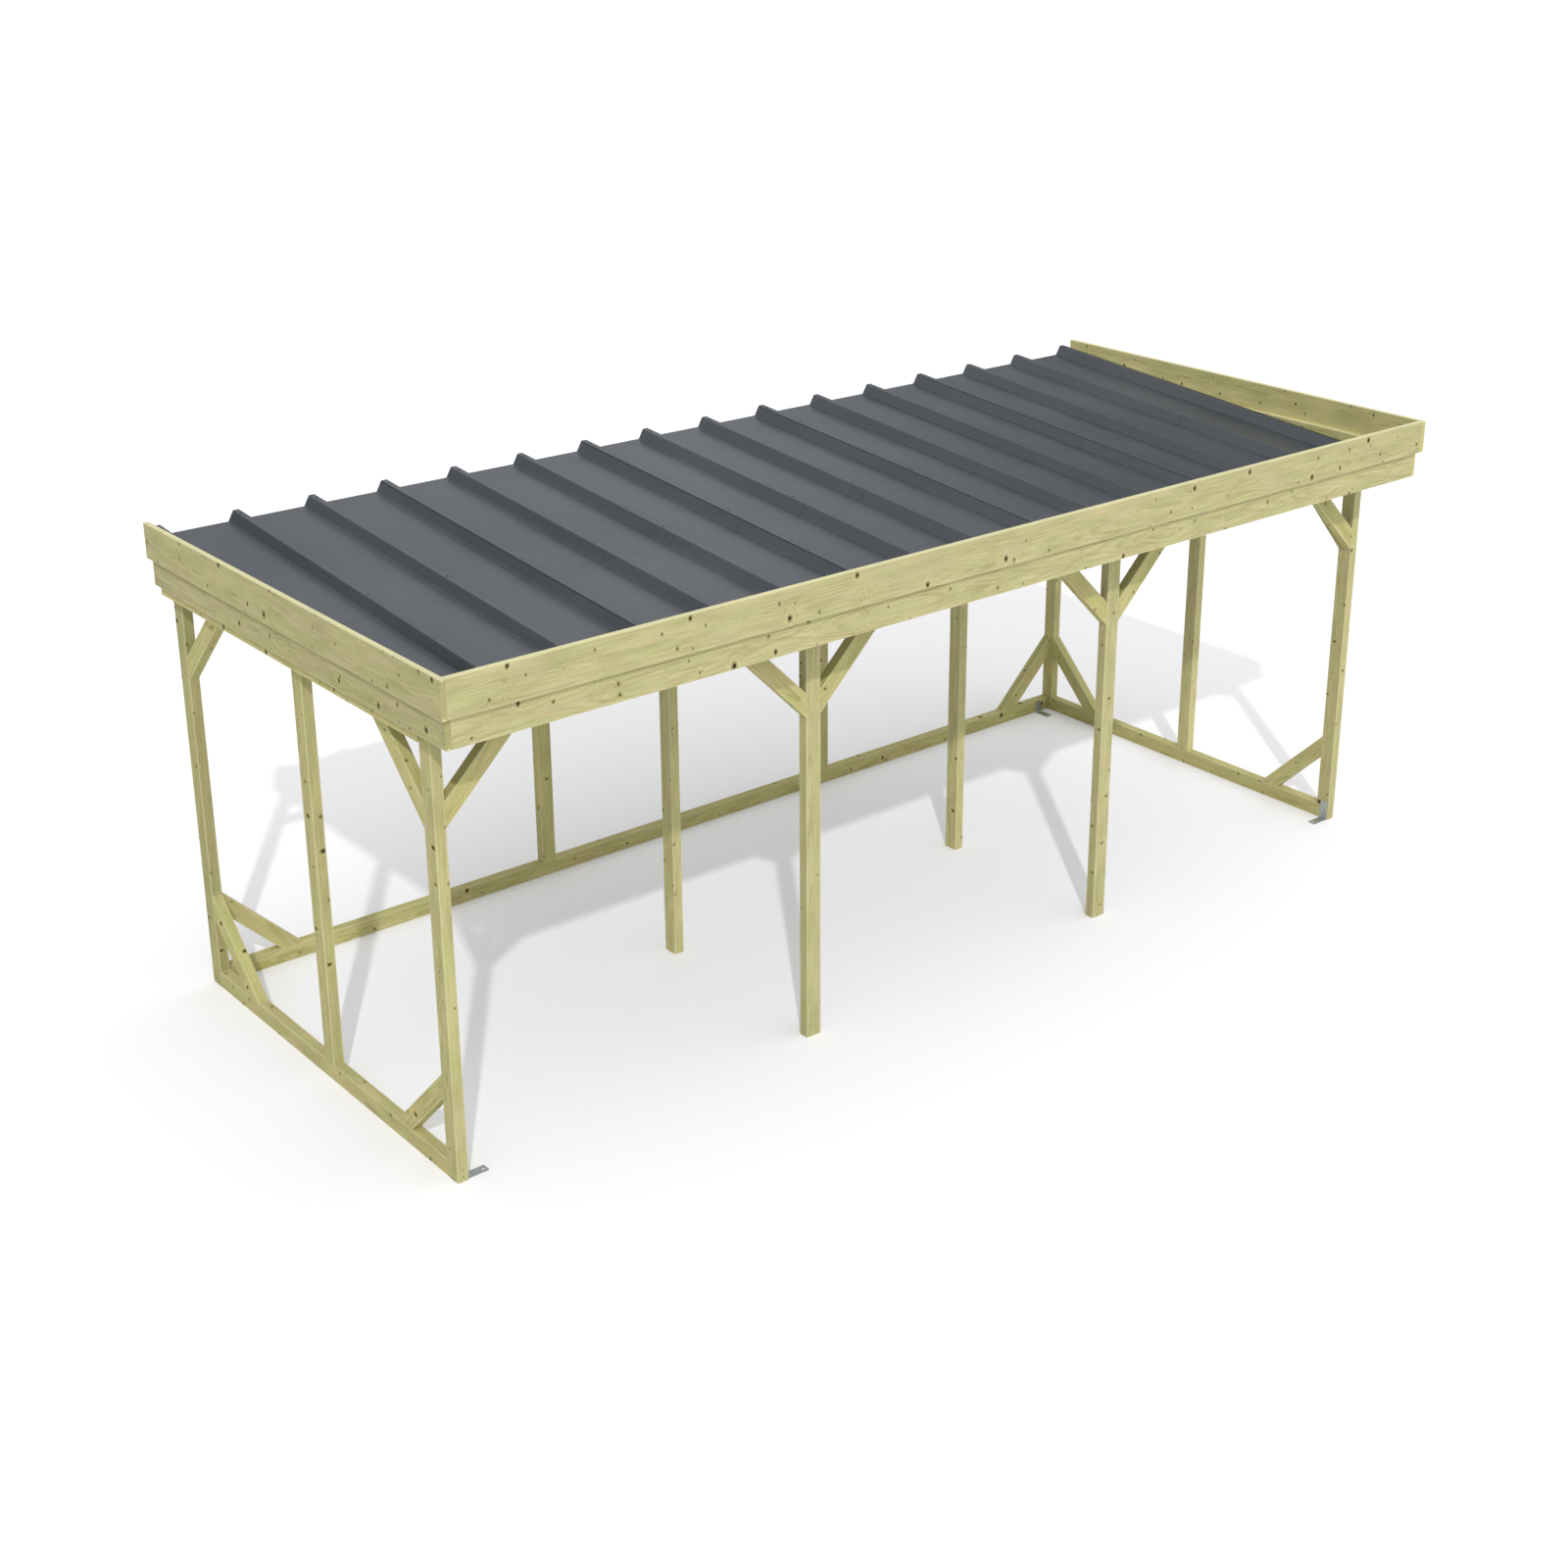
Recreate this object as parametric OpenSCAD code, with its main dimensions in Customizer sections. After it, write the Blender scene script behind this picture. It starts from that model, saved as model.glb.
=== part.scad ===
// Lean-to firewood shelter: an open timber frame of three bays, with a level fascia of two lapped
// boards around a ribbed steel roof that falls to the front. The rear is the high, wall side.
// Millimetres, +Z up, front towards -Y. The origin is the middle of the footprint, at floor level.

/* [Frame] */
// Length of the frame over its corner posts
frame_length = 4950; // [3600:10:6000]
// Depth of the frame over its front and rear posts
frame_depth = 1965; // [1600:5:2400]
// Height of the front posts
front_height = 1735; // [1400:5:2100]
// Distance of the middle posts behind the front of the frame
middle_setback = 910; // [700:5:1150]

/* [Timber] */
// Thickness of the frame timbers
timber_t = 45; // [36:1:58]
// Width of the frame timbers
timber_w = 70; // [58:1:90]
// Radius of the eased long edges of timbers and boards
edge_r = 2; // [0.5:0.5:4]
// Length of a knee brace along each timber that it ties
brace_leg = 350; // [250:10:450]
// Clearance between the end beams and what passes over them
beam_clear = 6.5; // [2:0.5:20]

/* [Fascia] */
// Thickness of the fascia boards
board_t = 22; // [18:1:28]
// Height of the upper fascia boards
upper_board_h = 145; // [120:1:180]
// Height by which the upper boards lap over the lower ones
board_lap = 15; // [8:1:30]
// Height of the fascia's top edge above the roof ribs, at the rear of the frame
fascia_upstand = 30; // [10:1:60]
// Height of the fascia's bottom edge above the top of the front posts
fascia_lift = 35; // [10:1:45]
// Distance from the front of the frame to the back of the front fascia
front_reach = 206; // [120:2:300]
// Length of the taper at the tip of a fascia arm
arm_taper = 106; // [40:2:115]
// Height of a fascia arm at its tip
arm_tip_h = 20; // [12:1:30]

/* [Roof] */
// Slope of the roof, as rise over run
roof_slope = 0.078; // [0.05:0.001:0.11]
// Thickness of the steel sheet
sheet_t = 1; // [0.6:0.1:1.5]
// Height of a rib
rib_h = 44; // [30:1:55]
// Width across the top of a rib
rib_top = 25; // [16:1:45]
// Run of each sloping flank of a rib
rib_flank = 22; // [12:1:35]
// Length of the bend at the foot of a rib
foot_bend = 3; // [2:1:14]
// Length of the bend at the top of a rib
crest_bend = 3; // [1:0.5:6]
// Clearance between two nested ribs at a side lap
lap_clear = 0.3; // [0.2:0.1:1]
// Height of the underlapping edge above the pan
underlap_h = 6; // [4:1:12]
// Length of the lip at the other edges of a sheet
edge_lip = 8; // [5:1:16]
// Distance by which the sheets reach out behind the frame
rear_reach = 25; // [0:5:60]
// Clearance between the sheets and the timbers that they lie on
seat_clear = 0.05; // [0.05:0.05:0.5]
// Clearance between the sheets and the end fascia
side_clear = 2; // [1:1:6]
// Clearance between the sheets and the front fascia
front_clear = 8; // [6:1:20]

/* [Ground brackets] */
// Thickness of the brackets
bracket_t = 2.5; // [2:0.5:5]
// Width of the brackets
bracket_w = 40; // [30:1:60]
// Length of the foot of a bracket
bracket_foot = 90; // [70:1:120]
// Height of the front brackets
front_bracket_h = 90; // [60:1:120]
// Height of the rear brackets, which are fixed to the rear rail
rear_bracket_h = 65; // [50:1:70]
// Outer radius of the bend
bracket_bend = 5; // [4:1:8]
// Radius of the rounded corners
bracket_corner = 5; // [2:1:10]
// Distance of the anchor hole from the back of the bracket
anchor_place = 75; // [45:1:80]
// Diameter of the anchor holes
anchor_d = 11; // [8:1:14]
// Diameter of the screw holes
screw_d = 5; // [4:0.5:6]
// Distance of the screw holes from the middle and from the top edge of a bracket
screw_inset = 12; // [8:1:14]
// Distance of the front brackets behind the front of the frame
bracket_setback = 6; // [0:1:15]

/* [Hidden] */

timber_colour = "#c6c08a";
board_colour = "#cdc996";
roof_colour = "#666c73";
bracket_colour = "#8b9090";

// The frame is the same on both sides of the middle, so its right half is the left one mirrored.
LEFT = 0;
RIGHT = 1;
half_length = frame_length / 2;
left_x = -half_length;
clear_bay = (frame_length - 2 * timber_t - 2 * timber_w) / 3;
// Middle of the inner left post line
inner_x = -(clear_bay + timber_w) / 2;

// Front faces of the rows of timber
front_y = 0;
middle_y = middle_setback;
rear_y = frame_depth - timber_t;
rear_corner_y = frame_depth - timber_w;

// Height of the slope that the roof sheets lie on
function roof_under(y) = front_height + timber_w + roof_slope * (y - timber_t);
// Height of the underside of a purlin whose front face is at y
function purlin_z(y) = roof_under(y + timber_t) - timber_w;
roof_angle = atan(roof_slope);
crest_z = roof_under(frame_depth) + seat_clear + rib_h + sheet_t;

beam_z = min(purlin_z(middle_y), roof_under(front_y)) - beam_clear - timber_w;
// A top brace at the ends runs on behind the beam, up to the beam's top edge
beam_brace_leg = brace_leg + timber_w;

fascia_top = crest_z + fascia_upstand;
upper_board_z = fascia_top - upper_board_h;
lower_board_z = front_height + fascia_lift;
lower_board_h = upper_board_z + board_lap - lower_board_z;
end_board_x = left_x - timber_t - board_t;

// Overlapping ribs are offset outward, to nest over the rib below
lap_step = sheet_t + lap_clear;
rib_angle = atan2(rib_h, rib_flank);
flank_dir = [cos(rib_angle), sin(rib_angle)];
sheet_count = 5;
pitches_per_sheet = 3;
// Reach of the outermost ribs, from their middle to the edge of the lip
end_rib_reach = rib_top / 2 + lap_step * tan(rib_angle / 2) + edge_lip * flank_dir[0] + sheet_t;
roof_width = frame_length + 2 * timber_t - 2 * side_clear;
rib_pitch = (roof_width - 2 * end_rib_reach) / (sheet_count * pitches_per_sheet);
sheet_rear_y = frame_depth + rear_reach;
sheet_length = (sheet_rear_y + front_reach - front_clear) / cos(roof_angle);
bend_steps = 4;

// Ease of the cut that opens a hole through both faces
through = 1;
round_fn = 48;

// Moves the frame, modelled from the front of its posts, to the middle of the footprint
module in_place() {
    translate([0, (front_reach + 2 * board_t - sheet_rear_y) / 2, 0])
        children();
}

module on_side(side) {
    if (side == RIGHT)
        mirror([1, 0, 0]) children();
    else
        children();
}

// ---- Timber ----

// Section of a planed timber or board, with eased corners
module eased_rect(w, h) {
    translate([edge_r, 0]) square([w - 2 * edge_r, h]);
    translate([0, edge_r]) square([w, h - 2 * edge_r]);
    for (x = [edge_r, w - edge_r], y = [edge_r, h - edge_r])
        translate([x, y]) circle(r = edge_r, $fn = round_fn);
}

// Timbers along each axis, from the origin: section w by h
module timber_x(length, w, h) {
    rotate([90, 0, 90]) linear_extrude(length) eased_rect(w, h);
}

module timber_y(length, w, h) {
    translate([0, length, 0]) rotate([90, 0, 0]) linear_extrude(length) eased_rect(w, h);
}

module timber_z(length, w, h) {
    linear_extrude(length) eased_rect(w, h);
}

// ---- Posts ----

// A corner post shows its thin side to the front
module corner_post(side, y, base, height) {
    color(timber_colour) in_place() on_side(side)
        translate([left_x, y, base]) timber_z(height - base, timber_t, timber_w);
}

// A post on an inner line, w wide and d deep
module inner_post(side, y, base, height, w, d) {
    color(timber_colour) in_place() on_side(side)
        translate([inner_x - w / 2, y, base]) timber_z(height - base, w, d);
}

module post_front_corner(side) {
    corner_post(side, front_y, 0, front_height);
}

module post_front_inner(side) {
    inner_post(side, front_y, 0, front_height, timber_w, timber_t);
}

// The end middle posts stand on the end rails
module post_middle_end(side) {
    corner_post(side, middle_y, timber_w, purlin_z(middle_y));
}

module post_middle_inner(side) {
    inner_post(side, middle_y, 0, purlin_z(middle_y), timber_t, timber_w);
}

module post_rear_corner(side) {
    corner_post(side, rear_corner_y, 0, purlin_z(rear_y));
}

// The inner rear posts stand on the rear rail
module post_rear_inner(side) {
    inner_post(side, rear_y, timber_w, purlin_z(rear_y), timber_w, timber_t);
}

// ---- Rails, beams and purlins ----

module rail_end(side) {
    color(timber_colour) in_place() on_side(side)
        translate([left_x, timber_w, 0]) timber_y(rear_corner_y - timber_w, timber_t, timber_w);
}

module rail_rear() {
    color(timber_colour) in_place()
        translate([left_x + timber_t, rear_y, 0]) timber_x(frame_length - 2 * timber_t, timber_t, timber_w);
}

// The end beams are level and lie outside the end posts
module beam_end(side) {
    color(timber_colour) in_place() on_side(side)
        translate([left_x - timber_t, front_y, beam_z]) timber_y(frame_depth, timber_t, timber_w);
}

// A purlin on edge, with its top planed to the slope of the roof
module purlin(y, overhang) {
    low_side = timber_w - timber_t * roof_slope;
    color(timber_colour) in_place()
        translate([left_x - overhang, y, purlin_z(y)]) rotate([90, 0, 90])
            linear_extrude(frame_length + 2 * overhang) intersection() {
                eased_rect(timber_t, timber_w);
                polygon([[0, 0], [timber_t, 0], [timber_t, timber_w], [0, low_side]]);
            }
}

// The front purlin fits between the end beams
module purlin_front() {
    purlin(front_y, 0);
}

// The others pass over the end beams, out to the fascia
module purlin_middle() {
    purlin(middle_y, timber_t);
}

module purlin_rear() {
    purlin(rear_y, timber_t);
}

// ---- Knee braces ----

// A 45 degree brace in the corner between +X and +Y, cut square to both, timber_t thick along Z
module corner_brace(leg) {
    intersection() {
        translate([leg, 0, 0]) rotate([0, 0, 135])
            translate([-timber_w, 0, 0]) timber_x(leg * sqrt(2) + 2 * timber_w, timber_w, timber_t);
        cube([leg, leg, timber_t]);
    }
}

// Brace in the plane of the front or rear: dir is +1 or -1 along X, up is +1 or -1 along Z
module brace_xz(x, y, z, dir, up, leg) {
    translate([x, y + timber_t, z]) scale_signs(dir, 1, up) rotate([90, 0, 0]) corner_brace(leg);
}

// Brace in the plane of the left end: dir is +1 or -1 along Y, up is +1 or -1 along Z
module brace_yz(y, z, dir, up, leg) {
    translate([left_x, y, z]) scale_signs(1, dir, up) rotate([90, 0, 90]) corner_brace(leg);
}

// Mirrors children along each axis whose sign is negative
module scale_signs(sx, sy, sz) {
    mirror([sx < 0 ? 1 : 0, 0, 0]) mirror([0, sy < 0 ? 1 : 0, 0]) mirror([0, 0, sz < 0 ? 1 : 0])
        children();
}

module brace_front_corner(side) {
    color(timber_colour) in_place() on_side(side)
        brace_xz(left_x + timber_t, front_y, front_height, 1, -1, brace_leg);
}

// One brace on each side of an inner front post
module braces_front_inner(side) {
    color(timber_colour) in_place() on_side(side)
        for (dir = [-1, 1])
            brace_xz(inner_x + dir * timber_w / 2, front_y, front_height, dir, -1, brace_leg);
}

// Inside the end beam, from the front and the rear corner post
module braces_top(side) {
    beam_top = beam_z + timber_w;
    color(timber_colour) in_place() on_side(side) {
        brace_yz(timber_w, beam_top, 1, -1, beam_brace_leg);
        brace_yz(rear_corner_y, beam_top, -1, -1, beam_brace_leg);
    }
}

// On the end rail, at the front and the rear corner post
module braces_foot(side) {
    color(timber_colour) in_place() on_side(side) {
        brace_yz(timber_w, timber_w, 1, 1, brace_leg);
        brace_yz(rear_corner_y, timber_w, -1, 1, brace_leg);
    }
}

// On the rear rail, at both corner posts
module braces_foot_rear() {
    color(timber_colour) in_place()
        for (side = [LEFT, RIGHT])
            on_side(side) brace_xz(left_x + timber_t, rear_y, timber_w, 1, 1, brace_leg);
}

// ---- Fascia ----

// A board of the front fascia, held between the end boards of its own course
module fascia_front(course, z, height) {
    reach = timber_t + course * board_t;
    color(board_colour) in_place()
        translate([left_x - reach, -front_reach - (course + 1) * board_t, z])
            timber_x(frame_length + 2 * reach, board_t, height);
}

// An end board, which runs through to the front
module fascia_end(side, course, z, height) {
    front = -front_reach - (course + 1) * board_t;
    color(board_colour) in_place() on_side(side)
        translate([end_board_x - course * board_t, front, z])
            timber_y(frame_depth - front, board_t, height);
}

module fascia_lower_front() {
    fascia_front(0, lower_board_z, lower_board_h);
}

module fascia_lower_end(side) {
    fascia_end(side, 0, lower_board_z, lower_board_h);
}

module fascia_upper_front() {
    fascia_front(1, upper_board_z, upper_board_h);
}

module fascia_upper_end(side) {
    fascia_end(side, 1, upper_board_z, upper_board_h);
}

// Arms on the inner lines carry the front fascia, from the front purlin, behind the boards
module fascia_arms() {
    tip_top = roof_under(-front_reach);
    outline = [
        [front_y, front_height],
        [front_y, roof_under(front_y)],
        [-front_reach, tip_top],
        [-front_reach, tip_top - arm_tip_h],
        [arm_taper - front_reach, front_height]
    ];
    color(timber_colour) in_place()
        for (side = [LEFT, RIGHT])
            on_side(side) translate([inner_x - timber_t / 2, 0, 0])
                rotate([90, 0, 90]) linear_extrude(timber_t) polygon(outline);
}

// ---- Roof sheets ----

function unit(v) = v / norm(v);
function left_normal(a, b) = let (d = unit(b - a)) [-d[1], d[0]];

// Direction in which point i of a path moves when the sheet takes on thickness
function side_normal(path, i) = let (
    last = len(path) - 1,
    before = i == 0 ? undef : left_normal(path[i - 1], path[i]),
    after = i == last ? undef : left_normal(path[i], path[i + 1])
) i == 0 ? after : i == last ? before : (before + after) / (1 + before * after);

// Outline of a strip of thickness t on the left of a path
function ribbon(path, t) = concat(
    path, [for (i = [len(path) - 1 : -1 : 0]) path[i] + t * side_normal(path, i)]
);

// Replaces the corner at b by a curve that starts and ends at a distance from it
function bend(a, b, c, distance) = let (
    from = b + distance * unit(a - b),
    to = b + distance * unit(c - b)
) [for (k = [0 : bend_steps]) let (u = k / bend_steps)
    (1 - u) * (1 - u) * from + 2 * u * (1 - u) * b + u * u * to];

// Half width of a rib at its foot and across its top, when offset outward by g
function foot_half(g) = rib_top / 2 + rib_flank + g / sin(rib_angle);
function top_half(g) = rib_top / 2 + g * tan(rib_angle / 2);

// The four corners of the underside of a rib at x, from left to right
function rib_corners(x, g) = [
    [x - foot_half(g), 0],
    [x - top_half(g), rib_h + g],
    [x + top_half(g), rib_h + g],
    [x + foot_half(g), 0]
];

// The corners of a whole sheet: plain ribs, then an overlapping rib on the right
function sheet_corners(x) = [for (k = [0 : pitches_per_sheet])
    each rib_corners(x + k * rib_pitch, k == pitches_per_sheet ? lap_step : 0)];

// Underside of a sheet: its corners, bent, and cut short on the outer flanks
function sheet_path(x, left_flank) = let (
    corners = sheet_corners(x),
    last = len(corners) - 1,
    start = corners[1] - left_flank * flank_dir,
    end = corners[last - 1] + edge_lip * [flank_dir[0], -flank_dir[1]],
    inner = [for (i = [1 : last - 1]) corners[i]],
    path = concat([start], inner, [end])
) concat([start], [for (i = [1 : len(path) - 2])
    each bend(path[i - 1], path[i], path[i + 1], path[i][1] > 0 ? crest_bend : foot_bend)], [end]);

// Each sheet laps over the first rib of the sheet on its right, whose edge runs on underneath.
// The first sheet starts with a lip.
module roof_sheet(number) {
    first_rib_x = end_rib_reach - roof_width / 2;
    x = first_rib_x + (number - 1) * pitches_per_sheet * rib_pitch;
    underlap = (rib_h - underlap_h) / sin(rib_angle);
    path = sheet_path(x, number == 1 ? edge_lip : underlap);
    color(roof_colour) in_place()
        translate([0, sheet_rear_y, roof_under(sheet_rear_y) + seat_clear]) rotate([90 + roof_angle, 0, 0])
            linear_extrude(sheet_length) polygon(ribbon(path, sheet_t));
}

// ---- Ground brackets ----

// A strip along +X from the origin, with its far corners rounded
module strip(length) {
    square([length - bracket_corner, bracket_w]);
    translate([0, bracket_corner]) square([length, bracket_w - 2 * bracket_corner]);
    for (y = [bracket_corner, bracket_w - bracket_corner])
        translate([length - bracket_corner, y]) circle(r = bracket_corner, $fn = round_fn);
}

// Section through the bend, as a rounded corner of the angle
module bend_corner() {
    difference() {
        translate([bracket_bend, bracket_bend]) circle(r = bracket_bend, $fn = round_fn);
        translate([bracket_bend, bracket_bend]) circle(r = bracket_bend - bracket_t, $fn = round_fn);
        translate([bracket_bend, 0]) square(2 * bracket_bend);
        translate([0, bracket_bend]) square(2 * bracket_bend);
    }
}

// Angle bracket: the foot lies along +X, the upright stands at x = 0, the width runs along +Y
module angle_bracket(height) {
    middle = bracket_w / 2;
    difference() {
        union() {
            translate([0, bracket_w, 0]) rotate([90, 0, 0]) linear_extrude(bracket_w) bend_corner();
            intersection() {
                linear_extrude(bracket_t) strip(bracket_foot);
                translate([bracket_bend, 0, 0]) cube([bracket_foot, bracket_w, bracket_t]);
            }
            intersection() {
                translate([bracket_t, 0, 0]) rotate([0, -90, 0]) linear_extrude(bracket_t) strip(height);
                translate([0, 0, bracket_bend]) cube([bracket_t, bracket_w, height]);
            }
        }
        translate([anchor_place, middle, -through])
            cylinder(d = anchor_d, h = bracket_t + 2 * through, $fn = round_fn);
        for (z = [height / 2, height - screw_inset], y = [middle - screw_inset, middle + screw_inset])
            translate([-through, y, z]) rotate([0, 90, 0])
                cylinder(d = screw_d, h = bracket_t + 2 * through, $fn = round_fn);
    }
}

// On the inner face of a front corner post, with its foot along the front
module bracket_front(side) {
    color(bracket_colour) in_place() on_side(side)
        translate([left_x + timber_t, bracket_setback, 0]) angle_bracket(front_bracket_h);
}

// On the front face of the rear rail, in line with the front anchors, with its foot to the front
module bracket_rear(side) {
    color(bracket_colour) in_place() on_side(side)
        translate([left_x + timber_t + anchor_place - bracket_w / 2, rear_y, 0])
            rotate([0, 0, -90]) angle_bracket(rear_bracket_h);
}

post_front_corner(LEFT);  // post_front_left
post_front_inner(LEFT);  // post_front_inner_left
post_front_inner(RIGHT);  // post_front_inner_right
post_front_corner(RIGHT);  // post_front_right
post_middle_end(LEFT);  // post_middle_left
post_middle_inner(LEFT);  // post_middle_inner_left
post_middle_inner(RIGHT);  // post_middle_inner_right
post_middle_end(RIGHT);  // post_middle_right
post_rear_corner(LEFT);  // post_rear_left
post_rear_inner(LEFT);  // post_rear_inner_left
post_rear_inner(RIGHT);  // post_rear_inner_right
post_rear_corner(RIGHT);  // post_rear_right
rail_end(LEFT);  // rail_left
rail_end(RIGHT);  // rail_right
rail_rear();
beam_end(LEFT);  // beam_left
beam_end(RIGHT);  // beam_right
purlin_front();
purlin_middle();
purlin_rear();
brace_front_corner(LEFT);  // brace_front_left
braces_front_inner(LEFT);  // braces_front_inner_left
braces_front_inner(RIGHT);  // braces_front_inner_right
brace_front_corner(RIGHT);  // brace_front_right
braces_top(LEFT);  // braces_top_left
braces_top(RIGHT);  // braces_top_right
braces_foot(LEFT);  // braces_foot_left
braces_foot(RIGHT);  // braces_foot_right
braces_foot_rear();
fascia_lower_front();
fascia_lower_end(LEFT);  // fascia_lower_left
fascia_lower_end(RIGHT);  // fascia_lower_right
fascia_upper_front();
fascia_upper_end(LEFT);  // fascia_upper_left
fascia_upper_end(RIGHT);  // fascia_upper_right
fascia_arms();
roof_sheet(1);  // roof_sheet_1
roof_sheet(2);  // roof_sheet_2
roof_sheet(3);  // roof_sheet_3
roof_sheet(4);  // roof_sheet_4
roof_sheet(5);  // roof_sheet_5
bracket_front(LEFT);  // bracket_front_left
bracket_front(RIGHT);  // bracket_front_right
bracket_rear(LEFT);  // bracket_rear_left
bracket_rear(RIGHT);  // bracket_rear_right
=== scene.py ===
"""Looks of the lean-to firewood shelter: a frame and fascia of planed, pressure treated pine,
a roof of coated ribbed steel, galvanised ground brackets and the screws that hold them."""

import math

import bmesh
import bpy
from mathutils import Matrix, Vector


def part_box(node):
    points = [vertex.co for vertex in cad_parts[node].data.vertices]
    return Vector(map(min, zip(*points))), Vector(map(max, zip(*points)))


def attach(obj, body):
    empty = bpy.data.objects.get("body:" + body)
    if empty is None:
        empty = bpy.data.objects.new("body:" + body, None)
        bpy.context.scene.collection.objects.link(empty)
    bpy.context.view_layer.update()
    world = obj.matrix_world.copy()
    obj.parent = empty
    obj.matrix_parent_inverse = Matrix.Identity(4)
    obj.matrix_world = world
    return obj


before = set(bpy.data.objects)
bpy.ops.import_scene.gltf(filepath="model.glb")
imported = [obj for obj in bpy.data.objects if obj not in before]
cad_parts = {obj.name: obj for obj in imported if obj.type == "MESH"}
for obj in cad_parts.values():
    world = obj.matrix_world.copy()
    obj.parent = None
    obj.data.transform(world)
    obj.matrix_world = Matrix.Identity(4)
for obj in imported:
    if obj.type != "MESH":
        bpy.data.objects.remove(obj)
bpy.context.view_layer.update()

MM = 0.001

# ---- Camera ----

# The eye stands in front of the left end, about 4.6 m up, and looks down along the length
EYE = Vector((-5.8836, -7.0051, 4.5796))
HEADING = math.radians(39.72)
PITCH = math.radians(20.67)
LENS = 51.70
SENSOR = 36
SHIFT = (-0.0234, -0.0741)
VIEW_REACH = 500         # metres, past the far edge of the floor


def make_camera():
    data = bpy.data.cameras.new("camera")
    data.sensor_width = SENSOR
    data.lens = LENS
    data.shift_x, data.shift_y = SHIFT
    data.clip_end = VIEW_REACH
    camera = bpy.data.objects.new("camera", data)
    camera.location = EYE
    camera.rotation_euler = (math.pi / 2 - PITCH, 0, -HEADING)
    bpy.context.scene.collection.objects.link(camera)
    bpy.context.scene.camera = camera


# ---- Helpers ----

# Mix and Map Range have several sockets of one name, so these are called by their place
A_VECTOR = 4
B_VECTOR = 5
A_COLOUR = 6
B_COLOUR = 7
MIXED_VECTOR = 1
MIXED_COLOUR = 2
TO_LOW_VECTOR = 9
TO_HIGH_VECTOR = 10


def srgb(code):
    """An sRGB hex colour as a linear RGBA tuple."""
    parts = [int(code[k:k + 2], 16) / 255 for k in (1, 3, 5)]
    return tuple(c / 12.92 if c <= 0.04045 else ((c + 0.055) / 1.055) ** 2.4 for c in parts) + (1,)


def add(tree, kind, inputs=None, **settings):
    """Adds a node. An input takes a value, a socket, or a node, which stands for its first output."""
    made = tree.nodes.new("ShaderNode" + kind)
    for key, value in settings.items():
        setattr(made, key, value)
    for socket, value in (inputs or {}).items():
        if isinstance(value, bpy.types.Node):
            value = value.outputs[0]
        if isinstance(value, bpy.types.NodeSocket):
            tree.links.new(value, made.inputs[socket])
        else:
            made.inputs[socket].default_value = value
    return made


def new_material(name):
    """A material with only a Principled shader; returns it, its tree and the shader."""
    material = bpy.data.materials.new(name)
    material.use_nodes = True
    tree = material.node_tree
    tree.nodes.clear()
    shader = add(tree, "BsdfPrincipled")
    add(tree, "OutputMaterial", {"Surface": shader.outputs["BSDF"]})
    return material, tree, shader


def paint(piece, material):
    """Gives a CAD node or a new piece one material, in every slot it has."""
    if not piece.material_slots:
        piece.data.materials.append(material)
    for place in piece.material_slots:
        place.material = material


# ---- Treated pine ----
# Planed pine, pressure treated and still fresh: pale straw with a green cast in patches, soft growth
# rings that run out into long arches on flat-sawn faces, small dark knots inside a paler ring, and a
# dull, closed surface with the grain just raised.

EARLYWOOD = srgb("#CFC797")
LATEWOOD = srgb("#A79C63")
GREEN_CAST = srgb("#BAC283")
WARM_CAST = srgb("#D6C79C")
KNOT_CORE = srgb("#30240F")
KNOT_RIM = srgb("#8C7A42")
KNOT_RING = srgb("#DDD5A4")
END_GRAIN = srgb("#B9AF7B")
# Colour of the painted highlight on the eased arrises and the narrow edges of thin boards
ARRIS_HIGHLIGHT = srgb("#E0DBB0")

RING_MM = 6               # one year's growth is 3 to 4 mm, drawn coarser so that it shows
DARKENING = (0.25, 0.86)  # the part of a year in which the wood darkens to latewood
LATEWOOD_END = 0.9        # from here to the end of the year the latewood runs out
FAINT_YEAR = 0.35         # latewood of the weakest year, as a share of the strongest
WOBBLE_MM = (240, 28)     # length and width of a bend in the rings
WOBBLE_RINGS = 1.7        # how many rings a bend shifts them by
WANDER_MM = (850, 24)     # how slowly and how far the pith leaves the piece's own axis
PITH_ACROSS_MM = 30       # the pith lies up to this far to either side
PITH_BELOW_MM = (34, 80)  # and this far under the face
FIBRE_MM = (130, 7)       # length and width of the widest streaks of fibres
BLOTCH_MM = (220, 50)     # length and width of an uneven patch of the treatment

RING_CONTRAST = 0.5
FIBRE_CONTRAST = 1.7
PALE_FIBRES = 0.7         # fibres up to this shade stay the colour of earlywood
GREEN_PATCH = (0.46, 0.66, 0.48)  # where on the blotches a patch starts, where it is full, how strong
WARM_PATCH = (0.48, 0.68, 0.45)
PATCH_RANGE = (0.3, 0.7)
PATCH_SHADE = (0.92, 1.08)

KNOT_CELL = (360, 105)    # room along and across for one branch knot
KNOT_RADIUS = (4.5, 9)
PIN_CELL = (230, 66)      # room along and across for one pin knot
PIN_RADIUS = (2.4, 4.8)
PIN_AWAY = (1.7, 11.3)    # factor and step from the seed of the branch knots to that of the pin knots
BOARD_KNOTS = 0.48        # share of the places for a branch knot that hold one, in the fascia boards
FRAME_KNOTS = 0.34
PIN_KNOTS = 0.5
KNOT_SCATTER = 0.9        # how freely a knot lies in its room
KNOT_WIDTH = 0.8          # distances across count for less, so a knot is a quarter wider than long
RAGGED_MM = 5             # how far the outline of a knot goes in and out
RAGGED_SCALE = 0.16       # waves of that outline in a millimetre
KNOT_BULGE_MM = 17        # how far growth rings part round a knot
PIN_BULGE_MM = 6
EDGE_SHIFT = (140, 9, 0)  # the edges of a piece show other knots than its wide faces

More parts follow.
